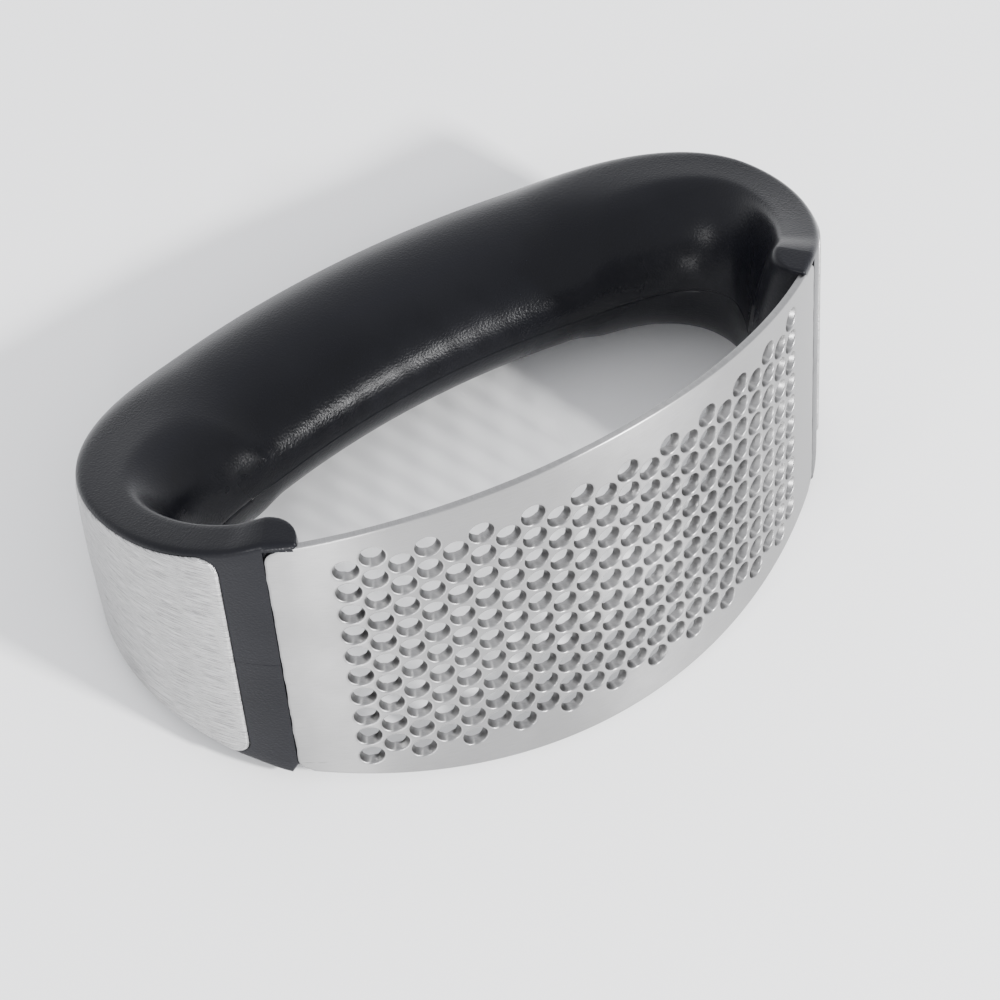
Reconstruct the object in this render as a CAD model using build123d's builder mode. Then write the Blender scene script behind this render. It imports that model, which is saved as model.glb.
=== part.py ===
"""Ring-shaped rocker garlic press.

A curved, perforated steel plate closes the lower side of a two-shell plastic ring. The upper side of the
ring is the grip. Steel covers wrap both ends of the ring and hide the screws that hold the plate.

Press axes: x along the length, y from the plate towards the grip, z along the ring's axis. The press lies
on its side, leaning a little, because the plate is wider than the grip. Angles run round the ring: 0 points
out of the plate, 90 points sideways and 180 points out of the grip, positive on the right.
"""
from build123d import *
import os
from math import cos, degrees, hypot, radians, sin, sqrt

os.makedirs("parts", exist_ok=True)

# ---------------------------------------------------------------- driving dimensions (mm and degrees)
plate_radius = 71.5            # outer face of the rocking plate
plate_thickness = 1.0
plate_end_angle = 37.5         # the plate shows this far to each side
plate_mid_half_width = 26.2
plate_end_half_width = 21.2
plate_corner = 0.8

hole_rows = 10
hole_columns = 22
hole_pitch = 4.0               # along the ring's axis
column_angle = 2.81
hole_mouth_radius = 1.7        # in the outer face
hole_throat_radius = 1.4       # in the inner face

heel_radius = 22.6             # plastic band next to the plate
heel_end_angle = 50.0
side_radius = 31.6             # ring end and shoulder
shoulder_angle = 168.0         # where the side meets the flatter top of the grip
nose_angle = 33.0              # the plastic reaches this far behind the plate
section_spacing = 4.0          # along the outline

end_half_width = 22.8          # along the ring's axis, at the plate
grip_half_width = 9.8
end_thickness = 9.6            # across the ring wall, at the plate
grip_thickness = 25.8
face_width = 5.6               # flat side face of the ring ends

tab_depth = 3.0                # the plate's end tab lies this far below the ring's outer face
tab_half_width = 15.0
tab_end_angle = 63.0

screw_angle = 58.0
screw_height = 8.0             # each side of the parting plane
screw_head_radius = 2.3
screw_head_height = 1.4
screw_shank_radius = 1.2
screw_length = 6.5
screw_seat_depth = 2.2         # under the head
tab_hole_radius = 1.4

cover_start_angle = 52.5
cover_tip_angle = 148.0
cover_view_angle = 98.0        # the cover's outline is drawn from here
cover_proud = 0.4              # outer face above the plastic
cover_sheet = 0.5
cover_rim = 0.8
cover_corner = 2.4
cover_gap = 0.3
recess_depth = 0.7

grip_wall = 2.6
rib = 1.6
peg_angle = 76.0
peg_depth = 5.2
peg_radius = 1.5
peg_height = 4.0
peg_clearance = 0.1

lean = 16.8                    # of the ring's axis, lying on its side


# ---------------------------------------------------------------- the ring's outline and schedule
def smooth(t):
    """Ease from 0 to 1."""
    t = min(max(t, 0), 1)
    return t * t * (3 - 2 * t)


def outward(a):
    """Outward direction at angle a round the ring."""
    return Vector(sin(radians(a)), -cos(radians(a)))


def next_centre(centre, radius, a, new_radius):
    """Centre of the arc that carries on smoothly from an arc that ends at angle a."""
    return centre + outward(a) * (radius - new_radius)


plate_centre = Vector(0, plate_radius)
heel_centre = next_centre(plate_centre, plate_radius, plate_end_angle, heel_radius)
side_centre = next_centre(heel_centre, heel_radius, heel_end_angle, side_radius)
shoulder = side_centre + outward(shoulder_angle) * side_radius
top_radius = shoulder.X / sin(radians(shoulder_angle))
top_centre = next_centre(side_centre, side_radius, shoulder_angle, top_radius)
arcs = (
    (plate_centre, plate_radius, plate_end_angle),
    (heel_centre, heel_radius, heel_end_angle),
    (side_centre, side_radius, shoulder_angle),
    (top_centre, top_radius, 180),
)
def outline(a):
    """Point of the ring's outer outline at angle a."""
    centre, radius, _ = next(arc for arc in arcs if abs(a) <= arc[2])
    side = -1 if a < 0 else 1
    return Vector(side * centre.X, centre.Y) + outward(a) * radius


def half_width(a):
    """Half width of the ring along its axis: broad at the plate, slim at the grip."""
    s = max(abs(a) - plate_end_angle, 0) / (180 - plate_end_angle)
    return grip_half_width + (end_half_width - grip_half_width) * (1 - s) ** 1.9


def thickness(a):
    """Thickness of the ring wall: even at the ends, reaching down to the grip's underside above them."""
    away = outline(abs(a)) - top_centre
    down = -away.dot(outward(abs(a)))
    gap = away.dot(away) - (top_radius - grip_thickness) ** 2
    reach = 0
    if down < 0 < gap and down**2 > gap:
        reach = -down - sqrt(down**2 - gap)
    return (end_thickness**3 + reach**3) ** (1 / 3)


def roundness(a, start, end):
    """0 where the section has flat faces, near 1 where it is an oval."""
    return 0.97 * smooth((abs(a) - start) / (end - start))


# ---------------------------------------------------------------- how the press lies
side_foot = outline(plate_end_angle) - outward(plate_end_angle) * face_width
grip_half = thickness(180) / 2
grip_centre_y = outline(180).Y - grip_half

rest_height = end_half_width * cos(radians(lean)) + side_foot.Y * sin(radians(lean))
front_reach = plate_mid_half_width * sin(radians(lean))
back_reach = grip_centre_y * cos(radians(lean)) + hypot(
    grip_half * cos(radians(lean)), grip_half_width * sin(radians(lean))
)
press = Plane(
    origin=(0, (front_reach - back_reach) / 2, rest_height),
    x_dir=(1, 0, 0),
    z_dir=(0, sin(radians(lean)), cos(radians(lean))),
)


def at(point, z=0):
    """World position of a point in press axes."""
    return press.from_local_coords(Vector(point.X, point.Y, z))


def along(direction):
    """World direction of a direction in press axes."""
    return at(direction) - press.origin


# ---------------------------------------------------------------- sections of the ring
def flat_sided(w, t):
    """Control points of the upper half section with a flat side face and a bellied inner face."""
    belly = w * 0.35
    lean_in = 2 * (t - face_width) / hypot(w, t - face_width)
    outer = [(0, w * i / 3) for i in range(4)]
    side = [(face_width * i / 3, w) for i in range(1, 4)]
    inner = [(face_width + belly * lean_in, w - belly), (t, belly), (t, 0)]
    return outer + side + inner


def oval(w, t):
    """Control points of the upper half of an oval, its outer quarter cut in two."""
    k = 0.5523
    h = t / 2
    quarter = [Vector(0, 0), Vector(0, k * w), Vector(h - k * h, w), Vector(h, w)]
    first = [(a + b) / 2 for a, b in zip(quarter, quarter[1:])]
    second = [(a + b) / 2 for a, b in zip(first, first[1:])]
    middle = (second[0] + second[1]) / 2
    outer = [quarter[0], first[0], second[0], middle, second[1], first[2], quarter[3]]
    return [(p.X, p.Y) for p in outer] + [(h + k * h, w), (t, k * w), (t, 0)]


def half_section(a, wall=0):
    """Upper half of the ring's section at angle a, or of the hollow that leaves a wall round it."""
    w = half_width(a)
    t = thickness(a)
    rounding = [roundness(a, 110, 180)] * 5 + [roundness(a, 84, 150)] * 5
    pairs = zip(rounding, flat_sided(w, t), oval(w, t))
    mixed = [((1 - k) * p[0] + k * q[0], (1 - k) * p[1] + k * q[1]) for k, p, q in pairs]
    narrow = 1 - 2 * wall / t
    low = 1 - wall / w
    points = [(t / 2 + (n - t / 2) * narrow, z * low) for n, z in mixed]
    plane = Plane(origin=at(outline(a)), x_dir=along(-outward(a)), z_dir=along(outward(a + 90)))
    with BuildSketch(plane) as section:
        with BuildLine():
            Bezier(*points[0:4])
            Bezier(*points[3:7])
            Bezier(*points[6:10])
            Line(points[9], points[0])
        make_face()
    return section.sketch


def round_the_ring(first, spacing):
    """Angles of evenly spaced sections from the right-hand end at `first`, over the grip, to the left."""
    right = []
    a = first
    while a < 178:
        right.append(a)
        radius = next(arc[1] for arc in arcs if a < arc[2])
        a += degrees(spacing / radius)
    return right + [180] + [-a for a in reversed(right)]


# ---------------------------------------------------------------- the steel plate
def sector(centre, radius, start, end, depth, inner_depth):
    """Plan of a band between two depths below an arc of the outline."""
    with BuildSketch() as plan:
        with BuildLine():
            outer = CenterArc(centre, radius - depth, start - 90, end - start)
            inner = CenterArc(centre, radius - inner_depth, start - 90, end - start)
            Line(outer @ 0, inner @ 0)
            Line(outer @ 1, inner @ 1)
        make_face()
    return plan.sketch


tab_bottom = tab_depth + plate_thickness
web_angle = plate_end_angle - plate_thickness / radians(plate_radius)
front_view = Plane(origin=at(Vector(0, 30)), x_dir=(1, 0, 0), z_dir=along(Vector(0, -1)))

with BuildPart() as plate_blank:
    with BuildSketch(press):
        add(sector(plate_centre, plate_radius, -plate_end_angle, plate_end_angle, 0, plate_thickness))
    extrude(amount=plate_mid_half_width, both=True)
    with BuildSketch(front_view):
        with BuildLine():
            x_end = plate_radius * sin(radians(plate_end_angle))
            for z in (1, -1):
                start = (-x_end, z * plate_end_half_width)
                end = (x_end, z * plate_end_half_width)
                ThreePointArc(start, (0, z * plate_mid_half_width), end)
            Line((-x_end, -plate_end_half_width), (-x_end, plate_end_half_width))
            Line((x_end, -plate_end_half_width), (x_end, plate_end_half_width))
        make_face()
        fillet(vertices(), plate_corner)
    extrude(amount=40, mode=Mode.INTERSECT)
    with BuildSketch(press):
        add(sector(plate_centre, plate_radius, web_angle, plate_end_angle, plate_thickness, tab_bottom))
        add(sector(heel_centre, heel_radius, plate_end_angle, heel_end_angle, tab_depth, tab_bottom))
        add(sector(side_centre, side_radius, heel_end_angle, tab_end_angle, tab_depth, tab_bottom))
        mirror(about=Plane.YZ)
    extrude(amount=tab_half_width, both=True)



# ---------------------------------------------------------------- the side covers and their recesses
cover_view = Plane(
    origin=at(side_centre + outward(cover_view_angle) * (side_radius + 5)),
    x_dir=along(outward(cover_view_angle + 90)),
    z_dir=along(outward(cover_view_angle)),
)


def cover_margin(a):
    """Strip of plastic between the cover and the side face: wider near the plate."""
    return 0.8 + 0.7 * (1 - smooth((a - cover_start_angle) / 25))


def across(a):
    """Distance across the cover's view of angle a on the ring end."""
    return side_radius * sin(radians(a - cover_view_angle))


def cover_layer(grow, depth, inner_depth):
    """Right cover's outline, grown sideways, between two depths below the ring's outer face."""
    start = cover_start_angle
    stations = [(across(a), half_width(a) - cover_margin(a) + grow) for a in (start, 70, 88, 106, 124)]
    foot = (across(start) - grow, stations[0][1])
    tip = (across(cover_tip_angle) + grow, 0)
    with BuildPart() as layer:
        with BuildSketch(press):
            add(sector(side_centre, side_radius, start - 2.4, cover_tip_angle + 6, depth, inner_depth))
        extrude(amount=end_half_width, both=True)
        with BuildSketch(cover_view):
            with BuildLine():
                Spline(foot, *stations[1:], tip, tangents=[(1, -0.35), (0, -1)])
                Line(foot, (foot[0], 0))
                mirror(about=Plane.XZ)
            make_face()
            fillet(vertices().group_by(Axis.X)[0], cover_corner + grow)
        extrude(amount=-40, mode=Mode.INTERSECT)
    return layer.part


with BuildPart() as right_side_cover:
    add(cover_layer(0, -cover_proud, recess_depth))
    add(cover_layer(-cover_rim, cover_sheet - cover_proud, recess_depth + 1), mode=Mode.SUBTRACT)

with BuildPart() as left_side_cover:
    mirror(right_side_cover.part, about=Plane.YZ)

with BuildPart() as right_cover_tape:
    add(cover_layer(-2 * cover_rim, cover_sheet - cover_proud, recess_depth))

with BuildPart() as left_cover_tape:
    mirror(right_cover_tape.part, about=Plane.YZ)


# ---------------------------------------------------------------- the plate's screws
def screw_seat(z):
    """Plane under a screw head, facing out of the right ring end."""
    seat = side_centre + outward(screw_angle) * (side_radius - screw_seat_depth)
    return Plane(origin=at(seat, z), x_dir=along(outward(screw_angle + 90)), z_dir=along(outward(screw_angle)))


with BuildPart() as right_plate_screws:
    for z in (-screw_height, screw_height):
        with BuildSketch(screw_seat(z)):
            Circle(screw_head_radius)
        extrude(amount=screw_head_height)
        with BuildSketch(screw_seat(z)):
            Circle(screw_shank_radius)
        extrude(amount=-screw_length)
        with BuildSketch(screw_seat(z).offset(screw_head_height)):
            Rectangle(2.6, 0.6)
            Rectangle(0.6, 2.6)
        extrude(amount=-0.8, mode=Mode.SUBTRACT)

with BuildPart() as left_plate_screws:
    mirror(right_plate_screws.part, about=Plane.YZ)

with BuildPart() as screw_holes:
    for z in (-screw_height, screw_height):
        with BuildSketch(screw_seat(z)):
            Circle(screw_head_radius + 0.2)
        extrude(amount=screw_seat_depth + 1)
        with BuildSketch(screw_seat(z)):
            Circle(screw_shank_radius)
        extrude(amount=-screw_length)
    mirror(about=Plane.YZ)

with BuildPart() as tab_holes:
    for z in (-screw_height, screw_height):
        with BuildSketch(screw_seat(z)):
            Circle(tab_hole_radius)
        extrude(amount=-screw_length / 2)
    mirror(about=Plane.YZ)


# ---------------------------------------------------------------- the press plate
def hole_places():
    """Where the holes stand in the plate: rows across it, each column shifted by half a pitch."""
    for column in range(hole_columns):
        a = (column - (hole_columns - 1) / 2) * column_angle
        stagger = hole_pitch / 4 * (-1 if column % 2 == 0 else 1)
        middle = outline(a) - outward(a) * (plate_thickness / 2)
        for row in range(hole_rows):
            z = ((hole_rows - 1) / 2 - row) * hole_pitch + stagger
            yield Plane(origin=at(middle, z), x_dir=along(outward(a + 90)), z_dir=along(outward(a))).location


with BuildPart() as punch:
    Cone(hole_throat_radius, hole_mouth_radius, plate_thickness + 0.2)

with BuildPart() as press_plate:
    add(plate_blank.part)
    add(tab_holes.part, mode=Mode.SUBTRACT)
    with Locations(*hole_places()):
        add(punch.part, mode=Mode.SUBTRACT)

# ---------------------------------------------------------------- the two shells of the ring
with BuildPart() as grip_hollow:
    loft([half_section(a, grip_wall) for a in (144, 156, 168, 180, -168, -156, -144)])
    with BuildSketch(press):
        for x in (-30, -18, -6, 6, 18, 30):
            with Locations((x, grip_centre_y)):
                Rectangle(rib, 2 * grip_thickness)
        add(sector(top_centre, top_radius, shoulder_angle, 180, grip_half - rib / 2, grip_half + rib / 2))
        add(sector(side_centre, side_radius, 130, shoulder_angle, grip_half - rib / 2, grip_half + rib / 2))
        mirror(about=Plane.YZ)
    extrude(amount=end_half_width, mode=Mode.SUBTRACT)

def peg_sockets(radius, height):
    """Round pegs, or the sockets they enter, on the parting plane at both ring ends."""
    with BuildPart() as pegs:
        for a in (peg_angle, -peg_angle):
            centre = outline(a) - outward(a) * peg_depth
            with BuildSketch(press):
                with Locations((centre.X, centre.Y)):
                    Circle(radius)
            extrude(amount=height)
    return pegs.part


with BuildPart() as half_ring:
    loft([half_section(a) for a in round_the_ring(nose_angle, section_spacing)])
    add(plate_blank.part, mode=Mode.SUBTRACT)
    add(cover_layer(cover_gap, -2, recess_depth), mode=Mode.SUBTRACT)
    add(mirror(cover_layer(cover_gap, -2, recess_depth), about=Plane.YZ, mode=Mode.PRIVATE), mode=Mode.SUBTRACT)
    add(screw_holes.part, mode=Mode.SUBTRACT)
    add(grip_hollow.part, mode=Mode.SUBTRACT)

with BuildPart() as handle_upper_shell:
    add(half_ring.part)
    add(peg_sockets(peg_radius + peg_clearance, peg_height + 0.5), mode=Mode.SUBTRACT)

with BuildPart() as handle_lower_shell:
    mirror(half_ring.part, about=press)
    add(peg_sockets(peg_radius, peg_height))

# ---------------------------------------------------------------- labels and files
press_plate.part.label = "press_plate"
handle_upper_shell.part.label = "handle_upper_shell"
handle_lower_shell.part.label = "handle_lower_shell"
left_side_cover.part.label = "left_side_cover"
right_side_cover.part.label = "right_side_cover"
left_cover_tape.part.label = "left_cover_tape"
right_cover_tape.part.label = "right_cover_tape"
left_plate_screws.part.label = "left_plate_screws"
right_plate_screws.part.label = "right_plate_screws"

for piece in (
    press_plate,
    handle_upper_shell,
    handle_lower_shell,
    left_side_cover,
    right_side_cover,
    left_cover_tape,
    right_cover_tape,
    left_plate_screws,
    right_plate_screws,
):
    export_step(piece.part, f"parts/{piece.part.label}.step")
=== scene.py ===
# %% [markdown]
# # A rocker garlic press
# The press is a stiff ring: a curved steel plate full of small holes, a black plastic grip moulded in two
# shells, and a brushed steel cover over each end of the ring. The measured model is loaded first and stays
# fixed. Every piece made here stands for one of its nodes, so its size and place are already settled.

# %% Load the measured model
import bpy
from math import cos, degrees, hypot, pi, radians, sin, sqrt
from mathutils import Matrix, Vector, noise
from mathutils.geometry import delaunay_2d_cdt

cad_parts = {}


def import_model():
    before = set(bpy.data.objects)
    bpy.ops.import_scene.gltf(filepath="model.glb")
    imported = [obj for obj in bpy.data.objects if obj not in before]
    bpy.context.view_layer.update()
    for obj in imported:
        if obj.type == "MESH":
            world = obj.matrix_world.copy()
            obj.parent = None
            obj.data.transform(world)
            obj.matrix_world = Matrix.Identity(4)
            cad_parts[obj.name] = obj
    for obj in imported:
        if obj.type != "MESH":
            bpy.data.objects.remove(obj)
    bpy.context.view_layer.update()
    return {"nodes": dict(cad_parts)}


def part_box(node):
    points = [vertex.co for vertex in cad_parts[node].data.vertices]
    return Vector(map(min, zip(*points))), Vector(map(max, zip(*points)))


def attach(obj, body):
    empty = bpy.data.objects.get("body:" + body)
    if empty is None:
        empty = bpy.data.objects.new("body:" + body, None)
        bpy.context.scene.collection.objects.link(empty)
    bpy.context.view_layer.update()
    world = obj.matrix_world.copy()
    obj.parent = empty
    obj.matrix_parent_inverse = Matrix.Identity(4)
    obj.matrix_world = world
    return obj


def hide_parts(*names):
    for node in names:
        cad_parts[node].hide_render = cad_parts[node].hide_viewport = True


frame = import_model()

# %% [markdown]
# The press lies on its side and leans, because its plate is wider than its grip. It is easiest to shape in
# its own axes: x along the length, y from the plate to the grip, z along the ring's axis, in millimetres.
# One function turns those into the scene's metres. Two edges of the plate's box say where the axes stand.

# %% The press's own axes
LEAN = radians(16.8)
PLATE_MIDDLE = 26.2

plate_low, plate_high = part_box("press_plate")
axes_y = plate_low[1] * 1000 + PLATE_MIDDLE * sin(LEAN)
axes_z = plate_high[2] * 1000 - PLATE_MIDDLE * cos(LEAN)


def lean(x, y, z):
    """A direction in the press's axes, turned into the scene's."""
    return Vector((x, y * cos(LEAN) + z * sin(LEAN), z * cos(LEAN) - y * sin(LEAN)))


def world(x, y, z):
    """A point in the press's axes (mm) as a point in the scene (m)."""
    return (Vector((0, axes_y, axes_z)) + lean(x, y, z)) / 1000


print("press axes stand at (mm):", [round(v * 1000, 2) for v in world(0, 0, 0)])

# %% [markdown]
# Seen along its axis, the ring's outline is four arcs a side that run smoothly into one another: the plate,
# the heel next to it, the round end and the flatter top of the grip. An angle says where we are on it: 0 is
# the middle of the plate, 90 the end and 180 the middle of the grip. Arcs need only a centre and a radius, so
# a few lines of code hold the outline more exactly than a curve drawn by hand.

# %% The ring's outline
PLATE_RADIUS, PLATE_END = 71.5, 37.5
HEEL_RADIUS, HEEL_END = 22.6, 50.0
SIDE_RADIUS, SHOULDER = 31.6, 168.0


def outward(a):
    """Unit direction out of the ring at angle a, in degrees."""
    return Vector((sin(radians(a)), -cos(radians(a))))


plate_centre = Vector((0, PLATE_RADIUS))
heel_centre = plate_centre + outward(PLATE_END) * (PLATE_RADIUS - HEEL_RADIUS)
side_centre = heel_centre + outward(HEEL_END) * (HEEL_RADIUS - SIDE_RADIUS)
TOP_RADIUS = (side_centre + outward(SHOULDER) * SIDE_RADIUS).x / sin(radians(SHOULDER))
top_centre = side_centre + outward(SHOULDER) * (SIDE_RADIUS - TOP_RADIUS)
ARCS = (
    (plate_centre, PLATE_RADIUS, PLATE_END),
    (heel_centre, HEEL_RADIUS, HEEL_END),
    (side_centre, SIDE_RADIUS, SHOULDER),
    (top_centre, TOP_RADIUS, 180.0),
)


def outline(a):
    """Point of the outline at angle a, on the right-hand side."""
    centre, radius, _ = next(arc for arc in ARCS if a <= arc[2] + 1e-6)
    return centre + outward(a) * radius


print("ring outline (mm):", round(2 * outline(90).x, 1), "by", round(outline(180).y, 1))

# %% [markdown]
# Along the outline the ring changes width, thickness and roundness. Next to the plate it is a broad, flat
# sided wall. Over the shoulders it narrows and swells into an oval that fills the palm. Small functions give
# the three values at any angle, and everything later reads them.

# %% Width, thickness and roundness of the ring
END_WIDTH, GRIP_WIDTH = 22.8, 9.8
END_THICKNESS, GRIP_THICKNESS, FACE = 9.6, 24.8, 5.6


def smooth(t):
    """Ease from 0 to 1."""
    t = min(max(t, 0.0), 1.0)
    return t * t * (3 - 2 * t)


def mix(p, q, t):
    """The value or point a share t of the way from p to q."""
    return p + (q - p) * t


def half_width(a):
    """Half the ring's width along its axis."""
    past = a - PLATE_END
    s = (past + hypot(past, 5.0)) / 2 / (180 - PLATE_END)
    return mix(GRIP_WIDTH, END_WIDTH, max(1 - s, 0) ** 1.9)


def wall(a):
    """Wall thickness: even at the ends, down to the grip's underside above them."""
    away = outline(a) - top_centre
    down = -away.dot(outward(a))
    gap = away.dot(away) - (TOP_RADIUS - GRIP_THICKNESS) ** 2
    reach = -down - sqrt(down**2 - gap) if down < 0 < gap and down**2 > gap else 0
    return (END_THICKNESS**2.2 + reach**2.2) ** (1 / 2.2)


def thickness(a):
    """The wall averaged over a few degrees, which rounds the corner between end and grip."""
    return sum(wall(min(a + step, 180)) for step in (-10, -6, -2, 2, 6, 10)) / 6


for a in (40, 90, 130, 180):
    print(f"at {a} degrees: half width {half_width(a):.1f}, thickness {thickness(a):.1f} mm")

# %% [markdown]
# Every piece becomes a mesh from lists of points and faces. The helper below also stores a UV map, measured
# along the surface, so a finish can follow the metal's grain round a bend. Edges sharper than the given
# angle stay crisp and all others are shaded smoothly.

# %% A mesh from points and faces
def make_mesh(name, points, faces, uvs, crisp=35):
    """New object in the scene, riding on the rigid body, with a UV map called grain."""
    mesh = bpy.data.meshes.new(name)
    mesh.from_pydata(points, [], faces)
    layer = mesh.uv_layers.new(name="grain")
    for loop in mesh.loops:
        layer.data[loop.index].uv = uvs[loop.vertex_index]
    mesh.shade_smooth()
    mesh.set_sharp_from_angle(angle=radians(crisp))
    mesh.validate()
    piece = bpy.data.objects.new(name, mesh)
    bpy.context.scene.collection.objects.link(piece)
    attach(piece, "root")
    return piece


# %% [markdown]
# The plate and the two covers are sheet metal: a flat outline, perhaps with holes, rolled onto a cylinder.
# Punching them with booleans would leave ragged shading, so each sheet is meshed flat instead. Two helpers
# come first: one moves an outline inwards, the other fills the space between outlines with triangles. The
# constrained Delaunay method keeps every outline as an edge of the result.

# %% Moving and filling a flat outline
def inset(rim, distance):
    """The closed outline moved inwards by a distance."""
    moved = []
    for i, point in enumerate(rim):
        run = rim[(i + 1) % len(rim)] - rim[i - 1]
        moved.append(point + Vector((-run.y, run.x)).normalized() * distance)
    return moved


def fill(loops, extra, keep):
    """Triangles between closed loops of points, using extra points inside."""
    points = [p for loop in loops for p in loop] + extra
    edges = []
    start = 0
    for loop in loops:
        edges += [(start + i, start + (i + 1) % len(loop)) for i in range(len(loop))]
        start += len(loop)
    _, _, faces, origin, _, _ = delaunay_2d_cdt(points, edges, [], 1, 1e-6)
    faces = [[origin[v][0] for v in face] for face in faces]
    return [face for face in faces if keep(sum((points[v] for v in face), Vector((0, 0))) / 3)]


square = [Vector((0, 0)), Vector((4, 0)), Vector((4, 4)), Vector((0, 4))]
print("a square fills with", len(fill([square], [Vector((2, 2))], lambda middle: True)), "triangles")

# %% [markdown]
# The sheet itself is built from rings of points. A profile is carried over the rim, and another one through
# each hole, so both get real rounded edges. Where metal was torn, a little noise makes the ring uneven. Both
# faces are then filled, and only at the end is the flat sheet rolled into place.

# %% A rolled sheet
HOLE_STEPS = 26
TORN_OUT, TORN_DOWN, TORN_GRAIN = 0.12, 0.3, 2.2


def rolled_sheet(name, rim, rim_profile, holes, hole_profile, extra, roll, crisp=35):
    """Closed sheet; rim_profile holds (inset, depth) and hole_profile (radius, depth, torn share)."""
    flat = []
    faces = []

    def ring(points, depths):
        flat.extend((p.x, p.y, d) for p, d in zip(points, depths))
        return list(range(len(flat) - len(points), len(flat)))

    def join(first, second):
        n = len(first)
        faces.extend((first[i], second[i], second[(i + 1) % n], first[(i + 1) % n]) for i in range(n))

    rims = [ring(inset(rim, i), [d] * len(rim)) for i, d in rim_profile]
    for first, second in zip(rims, rims[1:]):
        join(first, second)
    bores = []
    for number, centre in enumerate(holes):
        rings = []
        for radius, depth, rag in hole_profile:
            points, depths = [], []
            for i in range(HOLE_STEPS):
                turn = Vector((cos(2 * pi * i / HOLE_STEPS), -sin(2 * pi * i / HOLE_STEPS)))
                torn = noise.noise(Vector((turn.x * TORN_GRAIN, turn.y * TORN_GRAIN, number * 3.7)))
                points.append(centre + turn * (radius + rag * TORN_OUT * torn))
                depths.append(depth + rag * TORN_DOWN * torn)
            rings.append(ring(points, depths))
        for first, second in zip(rings, rings[1:]):
            join(first, second)
        bores.append(rings)
    for end, flip in ((0, False), (-1, True)):
        loops = [rims[end]] + [rings[end] for rings in bores]
        radius = hole_profile[end][0] * 0.98 if hole_profile else 0
        numbers = [v for loop in loops for v in loop]
        numbers += ring(extra, [rim_profile[end][1]] * len(extra))
        loops = [[Vector(flat[v][:2]) for v in loop] for loop in loops]
        solid = fill(loops, extra, lambda c: all((c - h).length > radius for h in holes))
        for face in solid:
            face = [numbers[v] for v in face]
            faces.append(face[::-1] if flip else face)
    uvs = [(s / 100, z / 100) for s, z, _ in flat]
    return make_mesh(name, [roll(*p) for p in flat], faces, uvs, crisp)


# %% [markdown]
# The plate is stainless sheet a millimetre thick. Its long edges bulge in the middle and its ends are let
# into the plastic. The outline is drawn flat, the way a blank is sheared: two shallow arcs, four rounded
# corners, and two ends that wander a little because the sheet was trimmed by hand. Rolling comes later.

# %% The plate's outline
PLATE_HALF_END, PLATE_CORNER = 21.2, 2.0
WAVE, RIPPLE = 0.24, 0.07

end_x = PLATE_RADIUS * sin(radians(PLATE_END))
end_run = PLATE_RADIUS * radians(PLATE_END)
bulge = (end_x**2 + (PLATE_MIDDLE - PLATE_HALF_END) ** 2) / (2 * (PLATE_MIDDLE - PLATE_HALF_END))


def plate_edge(run):
    """Half width of the plate at a run along it."""
    x = PLATE_RADIUS * sin(run / PLATE_RADIUS)
    return PLATE_MIDDLE - bulge + sqrt(bulge**2 - x**2)


def plate_rim():
    """The plate's flat outline, anticlockwise, with small corner arcs and slightly wavy ends."""
    corner = PLATE_CORNER
    length = end_run - corner
    tall = PLATE_HALF_END - corner
    half = [Vector((i * length / 45, -plate_edge(i * length / 45))) for i in range(-45, 46)]
    for i in range(1, 6):
        turn = radians(-90 + 15 * i)
        half.append(Vector((length + corner * cos(turn), -tall + corner * sin(turn))))
    for i in range(89):
        z = tall * (i / 44 - 1)
        calm = smooth((tall - abs(z)) / 3)
        wave = noise.noise(Vector((z * 0.28, 4.1, 0))) * WAVE
        wave += noise.noise(Vector((z * 1.1, 9.3, 0))) * RIPPLE
        half.append(Vector((end_run + calm * wave, z)))
    for i in range(1, 6):
        turn = radians(15 * i)
        half.append(Vector((length + corner * cos(turn), tall + corner * sin(turn))))
    return half + [-p for p in half]


def on_plate(run, z, depth):
    """A point of the flat plate, rolled onto the rocking curve."""
    p = plate_centre + outward(degrees(run / PLATE_RADIUS)) * (PLATE_RADIUS - depth)
    return world(p.x, p.y, z)


print("plate blank (mm):", round(2 * end_run, 1), "by", round(2 * PLATE_MIDDLE, 1))

# %% [markdown]
# The holes stand in columns, each shifted by half a pitch. Punching rounds the mouth of each hole and tears a
# short, uneven collar out of the far side, and the sheared rim keeps a soft bevel. Both are plain lists of
# steps, easy to read as a section through the metal. Loose points between the holes keep the triangles even.

# %% The press plate
COLUMNS, ROWS, COLUMN_ANGLE, PITCH = 22, 10, 2.81, 4.0
CLEAR_OF_HOLES, CLEAR_OF_RIM = 2.5, 0.9

hole_centres = []
for column in range(COLUMNS):
    run = PLATE_RADIUS * radians((column - (COLUMNS - 1) / 2) * COLUMN_ANGLE)
    shift = PITCH / 4 * (-1 if column % 2 == 0 else 1)
    hole_centres += [Vector((run, ((ROWS - 1) / 2 - row) * PITCH + shift)) for row in range(ROWS)]

plain = []
for i in range(-30, 31):
    for j in range(-17, 18):
        spot = Vector((i * 1.53, j * 1.5))
        clear = min((spot - h).length for h in hole_centres) > CLEAR_OF_HOLES
        within = abs(spot.x) < end_run - CLEAR_OF_RIM
        if clear and within and abs(spot.y) < plate_edge(spot.x) - CLEAR_OF_RIM:
            plain.append(spot)

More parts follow.
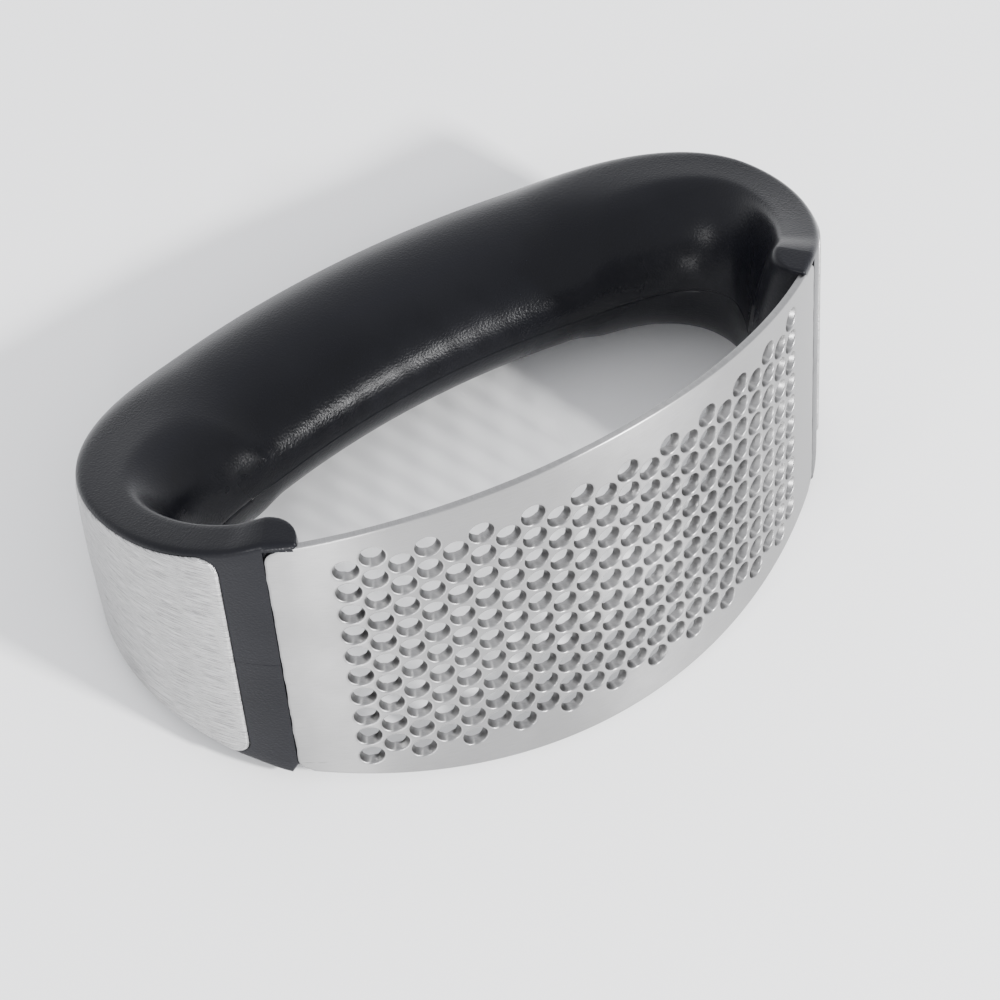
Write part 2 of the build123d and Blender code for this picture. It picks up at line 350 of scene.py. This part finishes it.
SHEARED = [
    (0.42, 0), (0.2, 0), (0.13, 0.02), (0.04, 0.09), (0, 0.2), (0, 0.8), (0.06, 0.95), (0.2, 1), (0.42, 1),
]
PUNCHED = [
    (1.96, 0, 0), (1.8, 0, 0), (1.76, 0.02, 0), (1.71, 0.08, 0), (1.66, 0.25, 0), (1.5, 0.75, 0.3),
    (1.42, 1.05, 0.6), (1.4, 1.3, 1), (1.5, 1.32, 1), (1.6, 1.15, 0.6), (1.75, 1.02, 0.1), (1.95, 1, 0),
]
press_plate = rolled_sheet("perforated_plate", plate_rim(), SHEARED, hole_centres, PUNCHED, plain, on_plate)
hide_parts("press_plate")
print("plate:", len(hole_centres), "holes,", len(press_plate.data.polygons), "faces")

# %% [markdown]
# Each cover is a thin stainless skin glued into a shallow recess over the round end. Its edge follows the
# ring's side face and closes in a rounded tongue at the shoulder. Corner arcs, four stations along the edge
# and a smooth curve through them give the outline. The same outline, grown a little, later cuts the recess.

# %% The cover's outline
COVER_START, COVER_TIP, COVER_CORNER = 52.5, 148.0, 2.4
STATIONS = (70, 88, 106, 124)
TIP_SWEEP = 16.0


def side_run(a):
    """Distance along the round end at angle a."""
    return SIDE_RADIUS * radians(a - 100)


def cover_margin(a):
    """Strip of plastic left between the cover and the side face."""
    at_plate = 0.7 * (1 - smooth((a - COVER_START) / 25))
    at_shoulder = 1.5 * smooth((a - 96) / 30)
    return 0.8 + at_plate + at_shoulder


def cover_rim(grow=0.0):
    """The cover's flat outline, anticlockwise, grown by a distance."""
    corner = COVER_CORNER + grow
    left = side_run(COVER_START) - grow
    top = half_width(COVER_START) - cover_margin(COVER_START) + grow
    turns = [radians(175 - 17 * i) for i in range(5)]
    edge = [Vector((left + corner + corner * cos(t), top - corner + corner * sin(t))) for t in turns]
    marks = [Vector((left + corner * 1.05, top))]
    marks += [Vector((side_run(a), half_width(a) - cover_margin(a) + grow)) for a in STATIONS]
    marks.append(Vector((side_run(COVER_TIP) + grow, 0)))
    slopes = [(b - a) / 2 for a, b in zip(marks, marks[2:])]
    slopes = [(marks[1] - marks[0]) * 0.9] + slopes + [Vector((0, -TIP_SWEEP))]
    for p, q, m, n in zip(marks, marks[1:], slopes, slopes[1:]):
        for i in range(12):
            t = i / 12
            edge.append(p * (2 * t**3 - 3 * t**2 + 1) + m * (t**3 - 2 * t**2 + t)
                        + q * (3 * t**2 - 2 * t**3) + n * (t**3 - t**2))
    edge.append(marks[-1])
    upper = [Vector((left, z * (top - corner) / 9)) for z in range(9)] + edge
    lower = [Vector((p.x, -p.y)) for p in reversed(upper[1:-1])]
    return (upper + lower)[::-1]


print("cover blank (mm):", round(side_run(COVER_TIP) - side_run(COVER_START), 1), "long")

# %% [markdown]
# Towards the shoulder the ring's outer wall rounds off into an oval, and the cover has to sink with it. One
# function says how round the outer wall is at any angle, and the shells read the same one later, so metal and
# plastic keep together. A strip of bonding tape lies under each cover, a little smaller than it.

# %% The two side covers
ROUNDEST = 0.97
GRID = 1.2


def outer_round(a):
    """How far the outer wall has gone from flat (0) to oval (1)."""
    return ROUNDEST * smooth((a - 98) / 74)


def sink(a, z):
    """How far the ring's outer wall falls away from the arc, towards the shoulder and off the middle."""
    share = min(abs(z) / half_width(a), 0.999)
    return outer_round(a) * thickness(a) / 2 * (1 - sqrt(1 - share**2))


def on_end(side):
    """Rolls a flat sheet onto the ring's right (1) or left (-1) end."""
    def roll(run, z, depth):
        a = 100 + degrees(run / SIDE_RADIUS)
        p = side_centre + outward(a) * (SIDE_RADIUS - depth - sink(a, z))
        return world(side * p.x, p.y, z)
    return roll


def inside(point, rim, margin):
    """True where a point is inside a closed outline and clear of it."""
    crossings = 0
    for p, q in zip(rim, rim[1:] + rim[:1]):
        if (point - p).length < margin:
            return False
        spans = (p.y > point.y) != (q.y > point.y)
        if spans and point.x < p.x + (q.x - p.x) * (point.y - p.y) / (q.y - p.y):
            crossings += 1
    return crossings % 2 == 1


rim = cover_rim()
grid = [Vector((side_run(COVER_START) + i * GRID, j * GRID)) for i in range(48) for j in range(-18, 19)]
grid = [p for p in grid if inside(p, rim, 1.1)]
tape_rim = inset(rim, 1.3)
tape_grid = [p for p in grid if inside(p, tape_rim, 0.9)]
STRIP = [(0, 0.61), (0, 0.69)]
FOLDED = [(0.62, -0.3), (0.36, -0.28), (0.14, -0.2), (0.03, -0.08), (0, 0.05), (0, 0.55), (0.3, 0.62)]
for side, word in ((1, "right"), (-1, "left")):
    cover = rolled_sheet(word + "_cover", rim, FOLDED, [], [], grid, on_end(side), 50)
    if side < 0:
        cover.data.flip_normals()
    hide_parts(word + "_side_cover")
    strip = rolled_sheet(word + "_tape", tape_rim, STRIP, [], [], tape_grid, on_end(side), 50)
    if side < 0:
        strip.data.flip_normals()
    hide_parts(word + "_cover_tape")
    print(word, "cover:", len(cover.data.polygons), "faces, tape:", len(strip.data.polygons))

# %% [markdown]
# The grip ring is moulded in two shells that meet on the middle plane. Each shell is a row of cross sections
# joined like the ribs of a boat. A section starts on the parting line, climbs the outer wall, turns a small
# radius onto the flat side face, then falls down the bellied inner face to the parting line again. Beside the
# plate the outer wall steps down under it. An oval with as many points is made for the grip.

# %% Two kinds of cross section
EDGE = 0.9
NOSE = 34.0
STEP_ANGLE = degrees((end_run + 0.1) / PLATE_RADIUS)
SEAM = 0.14
LIP_GAP, STEP_DEPTH = 0.1, 0.6
LOWER_TUCK, NOSE_THINNING = 1.9, 1.3
NOSE_ROUNDING, NOSE_EDGE = 4.0, 0.4


def bezier(p, q, r, s, t):
    """Point on a cubic curve."""
    return p * (1 - t) ** 3 + q * (3 * t * (1 - t) ** 2) + r * (3 * t * t * (1 - t)) + s * t**3


def flat_section(w, t, a):
    """Outer wall, rounded edge, side face and bellied inner face, as (depth, height) points."""
    lip = PLATE_HALF_END + LIP_GAP
    if w > lip + EDGE:
        heights = [lip * i / 9 for i in range(10)] + [lip + 0.02, mix(lip, w - EDGE, 0.6)]
    else:
        heights = [(w - EDGE) * i / 12 for i in range(12)]
    sunk = STEP_DEPTH if a < STEP_ANGLE else 0
    points = [Vector((sunk if z <= lip else 0, z)) for z in heights]
    for i in range(7):
        b = pi / 12 * i
        points.append(Vector((EDGE - EDGE * cos(b), w - EDGE + EDGE * sin(b))))
    points += [Vector((mix(EDGE, FACE - 0.7, i / 6), w)) for i in range(1, 7)]
    belly = w * 0.35
    slope = 2 * (t - FACE) / hypot(w, t - FACE)
    corner, middle = Vector((FACE, w)), Vector((t, 0))
    leaving, arriving = Vector((FACE + belly * slope, w - belly)), Vector((t, belly))
    inner = [bezier(corner, leaving, arriving, middle, i / 26) for i in range(1, 27)]
    turn = [mix(mix(points[-1], corner, i / 4), mix(corner, inner[1], i / 4), i / 4) for i in range(1, 4)]
    return points + turn + inner[1:]


def oval_section(w, t):
    """The same number of points round the upper half of an oval."""
    h = t / 2
    outer = [Vector((h - h * cos(b), w * sin(b))) for b in [pi / 2 * i / 25 for i in range(26)]]
    inner = [Vector((h + h * sin(b), w * cos(b))) for b in [pi / 2 * (i + 1) / 27 for i in range(27)]]
    return outer + inner


print("points in a flat and an oval section:", len(flat_section(20, 10, 60)), len(oval_section(10, 26)))

# %% [markdown]
# A real section lies between the two. Over the shoulders each point slides from its place on the flat sided
# wall to its place on the oval, the inner face sooner than the outer one. Close to the nose's end the section
# shrinks, which rounds the nose's edges. The last points turn into the fine groove of the parting line.

# %% A section anywhere on the ring
def shell_section(a, from_end, up):
    """The blended section at angle a; close to the nose's end it shrinks to round the nose's edges."""
    w = half_width(a)
    if up < 0:
        w -= LOWER_TUCK * smooth((STEP_ANGLE + 1.2 - a) / 1.4)
    t = thickness(a) - NOSE_THINNING * smooth((39.5 - a) / 4)
    outer, inner = outer_round(a), ROUNDEST * smooth((a - 84) / 60)
    points = []
    for i, (flat, oval) in enumerate(zip(flat_section(w, t, a), oval_section(w, t))):
        points.append(mix(flat, oval, mix(outer, inner, smooth((i - 14) / 12))))
    if from_end < NOSE_ROUNDING:
        round_in = NOSE_ROUNDING - sqrt(NOSE_ROUNDING**2 - (NOSE_ROUNDING - from_end) ** 2)
        points = [Vector((p.x - min(p.x / 5, 1) * round_in, p.y)) for p in points]
    if from_end < NOSE_EDGE:
        trim = NOSE_EDGE - sqrt(NOSE_EDGE**2 - (NOSE_EDGE - from_end) ** 2)
        narrow, low = 1 - 2 * trim / t, 1 - trim / w
        points = [Vector((t / 2 + (p.x - t / 2) * narrow, p.y * low)) for p in points]
    first, last = points[0], points[-1]
    start = [Vector((first.x + 0.03, 0.008)), Vector((first.x, 0.04))]
    end = [Vector((last.x, SEAM)), Vector((last.x - SEAM, 0.015))]
    return start + points[1:-1] + end


print("points in a section:", len(shell_section(40, 9, 1)), len(shell_section(170, 9, 1)))

# %% [markdown]
# The stations stand 0.9 mm apart, and closer at the nose, where small radii need them. Joining
# neighbouring sections gives quads, and the two nose ends are capped. A boolean then sinks the recess for
# each cover: the cutter is the cover's own outline, grown by the gap, so the groove round it is even.

# %% The two shells
def ring_stations():
    """(angle, distance from the nose's end) from the nose to the middle of the grip."""
    along = [0, 0.05, 0.12, 0.22, 0.34, 0.48, 0.7, 0.95, 1.25, 1.6, 2.0, 2.6, 3.2, 3.8]
    stations = [(NOSE + degrees(d / PLATE_RADIUS), d) for d in along]
    stations += [(STEP_ANGLE - 0.004, 9), (STEP_ANGLE, 9)]
    a = STEP_ANGLE
    while a < 179.4:
        radius = next(arc[1] for arc in ARCS if a < arc[2])
        a += degrees(0.9 / radius)
        stations.append((min(a, 179.6), 9))
    return stations


def recess_cutter(side):
    """Solid that sinks the cover's recess into the ring's end."""
    cutter = rolled_sheet("cutter", cover_rim(0.12), [(0, -2), (0, 0.7)], [], [], grid, on_end(side))
    if side < 0:
        cutter.data.flip_normals()
    return cutter


def moulded_shell(name, up):
    """The upper (1) or lower (-1) half of the grip ring."""
    stations = ring_stations()
    rows = [(a, d, 1) for a, d in stations] + [(180, 9, 1)] + [(a, d, -1) for a, d in reversed(stations)]
    points, uvs, faces = [], [], []
    run = 0
    before = None
    for a, from_end, side in rows:
        base, out = outline(a), outward(a)
        run += (Vector((side * base.x, base.y)) - before).length if before else 0
        before = Vector((side * base.x, base.y))
        for number, p in enumerate(shell_section(a, from_end, up)):
            spot = base - out * p.x
            points.append(world(side * spot.x, spot.y, up * p.y))
            uvs.append((run / 100, number / 100))
    n = len(points) // len(rows)
    for i in range(len(rows) - 1):
        for j in range(n):
            k = (j + 1) % n
            quad = (i * n + j, i * n + k, (i + 1) * n + k, (i + 1) * n + j)
            faces.append(quad if up < 0 else quad[::-1])
    caps = [list(range(n)), list(range(len(points) - n, len(points)))[::-1]]
    faces += caps if up > 0 else [cap[::-1] for cap in caps]
    return make_mesh(name, points, faces, uvs, 38)


cutters = [recess_cutter(1), recess_cutter(-1)]
for up, word in ((1, "upper"), (-1, "lower")):
    shell = moulded_shell(word + "_shell", up)
    for cutter in cutters:
        cut = shell.modifiers.new("recess", "BOOLEAN")
        cut.object = cutter
        cut.solver = "EXACT"
    carved = bpy.data.meshes.new_from_object(shell.evaluated_get(bpy.context.evaluated_depsgraph_get()))
    shell.modifiers.clear()
    shell.data = carved
    carved.set_sharp_from_angle(angle=radians(38))
    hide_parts("handle_" + word + "_shell")
    print(word, "shell:", len(carved.polygons), "faces")
for cutter in cutters:
    bpy.data.objects.remove(cutter)

# %% [markdown]
# A finish is a small graph of nodes. Most of them need the same few things: a coordinate, a stretched noise,
# a ramp that picks out part of it, and a bump at the end. The helper class keeps those short to write.

# %% A helper for finishes
class Finish:
    """A material with a Principled shader and a few short ways to add nodes."""

    def __init__(self, name, color, metallic, roughness):
        self.material = bpy.data.materials.new(name)
        self.material.use_nodes = True
        self.tree = self.material.node_tree
        self.shader = self.tree.nodes["Principled BSDF"]
        self.shader.inputs["Base Color"].default_value = (*color, 1)
        self.shader.inputs["Metallic"].default_value = metallic
        self.shader.inputs["Roughness"].default_value = roughness

    def node(self, kind, **settings):
        """New node; lower-case names set its properties."""
        node = self.tree.nodes.new("ShaderNode" + kind)
        for key, value in settings.items():
            setattr(node, key, value)
        return node

    def feed(self, source, target):
        """Links an output to an input."""
        self.tree.links.new(source, target)

    def along(self, stretch):
        """The grain UV map, stretched."""
        uv = self.node("UVMap", uv_map="grain")
        mapping = self.node("Mapping")
        mapping.inputs["Scale"].default_value = stretch
        self.feed(uv.outputs[0], mapping.inputs[0])
        return mapping.outputs[0]

    def solid(self, stretch=(1, 1, 1)):
        """The object's own coordinates, stretched."""
        place = self.node("TexCoord")
        mapping = self.node("Mapping")
        mapping.inputs["Scale"].default_value = stretch
        self.feed(place.outputs["Object"], mapping.inputs[0])
        return mapping.outputs[0]

    def noise(self, where, scale, detail=3.0, roughness=0.5, distortion=0.0):
        """Noise value."""
        node = self.node("TexNoise")
        self.feed(where, node.inputs["Vector"])
        node.inputs["Scale"].default_value = scale
        node.inputs["Detail"].default_value = detail
        node.inputs["Roughness"].default_value = roughness
        node.inputs["Distortion"].default_value = distortion
        return node.outputs["Fac"]

    def ramp(self, value, low, high, to_low=0.0, to_high=1.0):
        """Maps a range of a value to another range, smoothly and clamped."""
        node = self.node("MapRange", interpolation_type="SMOOTHSTEP")
        self.feed(value, node.inputs["Value"])
        for key, number in (("From Min", low), ("From Max", high), ("To Min", to_low), ("To Max", to_high)):
            node.inputs[key].default_value = number
        return node.outputs["Result"]

    def math(self, kind, first, second):
        """Sum, product or other of two values."""
        node = self.node("Math", operation=kind)
        for socket, value in zip(node.inputs, (first, second)):
            if isinstance(value, (int, float)):
                socket.default_value = value
            else:
                self.feed(value, socket)
        return node.outputs[0]

    def tint(self, value, dark, light):
        """Base colour between two colours."""
        node = self.node("Mix", data_type="RGBA")
        self.feed(value, node.inputs["Factor"])
        node.inputs["A"].default_value = (*dark, 1)
        node.inputs["B"].default_value = (*light, 1)
        self.feed(node.outputs["Result"], self.shader.inputs["Base Color"])

    def bump(self, height, distance, strength=1.0):
        """Fine relief, distance in metres."""
        node = self.node("Bump")
        node.inputs["Strength"].default_value = strength
        node.inputs["Distance"].default_value = distance
        self.feed(height, node.inputs["Height"])
        self.feed(node.outputs[0], self.shader.inputs["Normal"])


def dress(piece, finish):
    """Gives a piece one finish."""
    piece.data.materials.clear()
    piece.data.materials.append(finish.material)


# %% [markdown]
# The plate is satin stainless: rolled smooth, then lightly brushed along its length. Long thin noise in the
# UV map gives the grain, a broad noise keeps the sheen from being even, and a little bump lets the highlight
# break up. The mix of the two is what tells the eye that this is sheet metal, not grey paint.

# %% Satin plate steel
satin = Finish("satin_plate_steel", (0.6, 0.6, 0.59), 1.0, 0.36)
lines = satin.noise(satin.along((6, 420, 1)), 6.0, 4.0, 0.6)
cloud = satin.noise(satin.solid(), 60.0, 3.0)
pits = satin.noise(satin.solid(), 1500.0, 2.0)
sheen = satin.math("ADD", lines, cloud)
satin.tint(satin.ramp(sheen, 0.7, 1.3), (0.25, 0.248, 0.247), (0.33, 0.328, 0.327))
satin.feed(satin.ramp(sheen, 0.7, 1.3, 0.3, 0.42), satin.shader.inputs["Roughness"])
satin.shader.inputs["Anisotropic"].default_value = 0.75
satin.shader.inputs["Anisotropic Rotation"].default_value = 0.25
across = satin.node("Tangent", direction_type="UV_MAP", uv_map="grain")
satin.feed(across.outputs[0], satin.shader.inputs["Tangent"])
satin.bump(satin.math("ADD", lines, satin.math("MULTIPLY", pits, 0.5)), 0.00001, 0.6)
dress(press_plate, satin)

# %% [markdown]
# The covers are brushed harder, round the ring. Their grain is a longer, deeper streak, and an anisotropic
# highlight stretches across it, which gives the bright upright bar on a brushed cylinder.

# %% Brushed cover steel
brushed = Finish("brushed_cover_steel", (0.55, 0.54, 0.53), 1.0, 0.32)
streaks = brushed.noise(brushed.along((4, 160, 1)), 5.0, 5.0, 0.7)
hairs = brushed.noise(brushed.along((12, 700, 1)), 5.0, 3.0, 0.6)
both = brushed.math("ADD", streaks, hairs)
brushed.tint(brushed.ramp(both, 0.85, 1.15), (0.2, 0.198, 0.197), (0.58, 0.577, 0.575))
brushed.feed(brushed.ramp(both, 0.75, 1.25, 0.22, 0.42), brushed.shader.inputs["Roughness"])
brushed.shader.inputs["Anisotropic"].default_value = 0.8
brushed.shader.inputs["Anisotropic Rotation"].default_value = 0.25
tangent = brushed.node("Tangent", direction_type="UV_MAP", uv_map="grain")
brushed.feed(tangent.outputs[0], brushed.shader.inputs["Tangent"])
brushed.bump(both, 0.00004, 0.9)
for name in ("right_cover", "left_cover"):
    dress(bpy.data.objects[name], brushed)

# %% [markdown]
# The grip is a tough moulded plastic, slate black, with a fine leather-like grain from the etched mould. The
# grain is small cells with soft borders, so the highlight on the grip breaks into tiny specks. Broad patches
# are a little smoother than the rest, as handling leaves them.

# %% Grained grip plastic
grained = Finish("grained_grip_plastic", (0.006, 0.006, 0.008), 0.0, 0.36)
grained.shader.inputs["Specular IOR Level"].default_value = 0.14
cells = grained.node("TexVoronoi", feature="SMOOTH_F1")
grained.feed(grained.solid(), cells.inputs["Vector"])
cells.inputs["Scale"].default_value = 3400.0
fine = grained.noise(grained.solid(), 4600.0, 3.0, 0.6)
patch = grained.noise(grained.solid(), 45.0, 3.0)
grained.tint(grained.ramp(patch, 0.35, 0.65), (0.0035, 0.0037, 0.0055), (0.0055, 0.0057, 0.0078))
grained.feed(grained.ramp(patch, 0.3, 0.7, 0.25, 0.33), grained.shader.inputs["Roughness"])
leather = grained.math("ADD", cells.outputs["Distance"], grained.math("MULTIPLY", fine, 0.6))
grained.bump(leather, 0.00005, 0.5)
for name in ("upper_shell", "lower_shell"):
    dress(bpy.data.objects[name], grained)

# %% [markdown]
# The screws and the bonding tape are sealed inside, but they belong to the part, so they get a finish too:
# plain machined steel with turning marks, and white tape with a fibrous texture.

# %% Hidden screws and tape
turned = Finish("turned_screw_steel", (0.55, 0.54, 0.52), 1.0, 0.35)
marks = turned.noise(turned.solid((1, 1, 6)), 900.0, 3.0)
turned.feed(turned.ramp(marks, 0.3, 0.7, 0.28, 0.45), turned.shader.inputs["Roughness"])
turned.bump(marks, 0.00002, 0.5)
tape = Finish("white_bonding_tape", (0.78, 0.77, 0.73), 0.0, 0.6)
fibres = tape.noise(tape.solid((1, 4, 1)), 1200.0, 4.0)
tape.tint(fibres, (0.7, 0.69, 0.65), (0.84, 0.83, 0.8))
tape.bump(fibres, 0.00003, 0.5)
for side in ("left", "right"):
    dress(frame["nodes"][side + "_plate_screws"], turned)
    dress(bpy.data.objects[side + "_tape"], tape)

# %% [markdown]
# A pale floor and soft light show the metal well: steel looks like what it reflects. The bright, even
# surroundings light everything softly. Three small panels in front and to the left add the highlights that
# give the black grip its shape.

# %% Floor and light
def panel(name, place, aim, size, power):
    """Square area light that looks at a point, in metres and watts."""
    light = bpy.data.lights.new(name, "AREA")
    light.size = size
    light.energy = power
    lamp = bpy.data.objects.new(name, light)
    lamp.location = place
    lamp.rotation_euler = (Vector(aim) - Vector(place)).to_track_quat("-Z", "Y").to_euler()
    bpy.context.scene.collection.objects.link(lamp)


floor_mesh = bpy.data.meshes.new("floor")
floor_mesh.from_pydata([(-3, -3, 0), (3, -3, 0), (3, 3, 0), (-3, 3, 0)], [], [(0, 1, 2, 3)])
floor = bpy.data.objects.new("floor", floor_mesh)
bpy.context.scene.collection.objects.link(floor)
pale = Finish("pale_floor", (0.9, 0.9, 0.9), 0.0, 0.8)
pale.tint(pale.noise(pale.solid(), 3.0), (0.89, 0.89, 0.89), (0.91, 0.91, 0.91))
dress(floor, pale)

sky = bpy.data.worlds.new("studio")
bpy.context.scene.world = sky
sky.use_nodes = True
sky.node_tree.nodes["Background"].inputs["Color"].default_value = (0.95, 0.96, 1, 1)
sky.node_tree.nodes["Background"].inputs["Strength"].default_value = 1.6
centre = (0, 0, 0.025)
panel("front_right", (0.36, -0.63, 0.46), centre, 0.09, 17)
panel("front_left", (-0.52, -0.68, 0.055), centre, 0.045, 5)
panel("left", (-0.75, -0.17, 0.32), centre, 0.1, 2)

# %% [markdown]
# The camera looks down on the plate from the front left, through a long lens that keeps the ring's shape
# true. Its place is given in the press's own axes, and its picture is turned a little.

# %% Camera
lens = bpy.data.cameras.new("camera")
lens.sensor_width = 36
lens.lens = 112.76
lens.clip_start = 0.01
camera = bpy.data.objects.new("camera", lens)
bpy.context.scene.collection.objects.link(camera)
bpy.context.scene.camera = camera

back = Vector((-0.3584, -0.5970, 0.7178)).normalized()
level = Vector((cos(radians(-30.979)), sin(radians(-30.979)), 0))
rise = back.cross(level)
roll = radians(-5.198)
right = level * cos(roll) + rise * sin(roll)
above = rise * cos(roll) - level * sin(roll)
columns = [lean(*v) for v in (right, above, back)]
turn = Matrix([[column[i] for column in columns] for i in range(3)]).to_4x4()
camera.matrix_world = Matrix.Translation(world(-155.17, -229.28, 301.76)) @ turn
print("camera stands", round(camera.location.length * 1000), "mm away")
